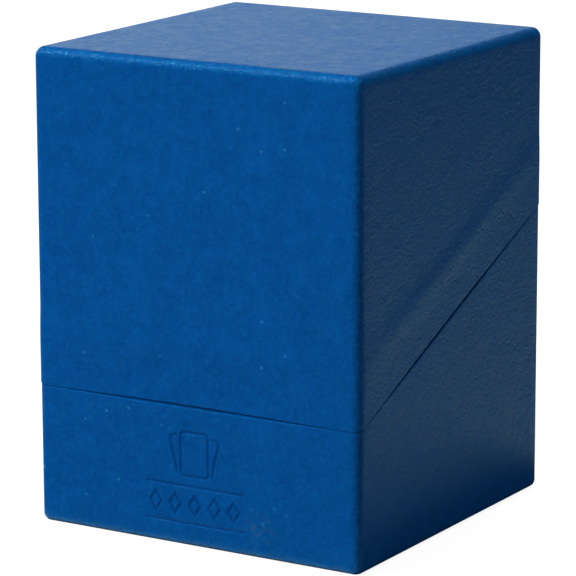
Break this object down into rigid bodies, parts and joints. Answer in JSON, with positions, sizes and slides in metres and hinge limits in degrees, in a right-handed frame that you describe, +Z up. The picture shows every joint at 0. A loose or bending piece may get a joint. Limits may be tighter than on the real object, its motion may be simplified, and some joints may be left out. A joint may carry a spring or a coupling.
{
  "type": "card deck box",
  "caption": "Upright box for sleeved trading cards: a low-fronted base with an inner collar and a deep lid that slides down over it.",
  "frame": {"origin": "middle of the box's underside, on the surface that it stands on", "axes": "+Z up through the lid, along the lift; -Y out of the front face, where the base is lowest; +X across the front, to the right for a person facing it"},
  "size_m": [0.0756, 0.075, 0.098],
  "materials": {
    "moulded_blue": "fine satin moulding, fibre-filled, with faint flow streaks and sparse light flecks"
  },
  "bodies": {
    "base": {"base_shell": "moulded_blue", "card_collar": "moulded_blue"},
    "lid": {"lid_shell": "moulded_blue"}
  },
  "joints": [
    {"name": "lid_lift", "type": "slide", "parent": "base", "child": "lid", "axis": [0, 0, 1], "range_m": [0, 0.07]}
  ]
}
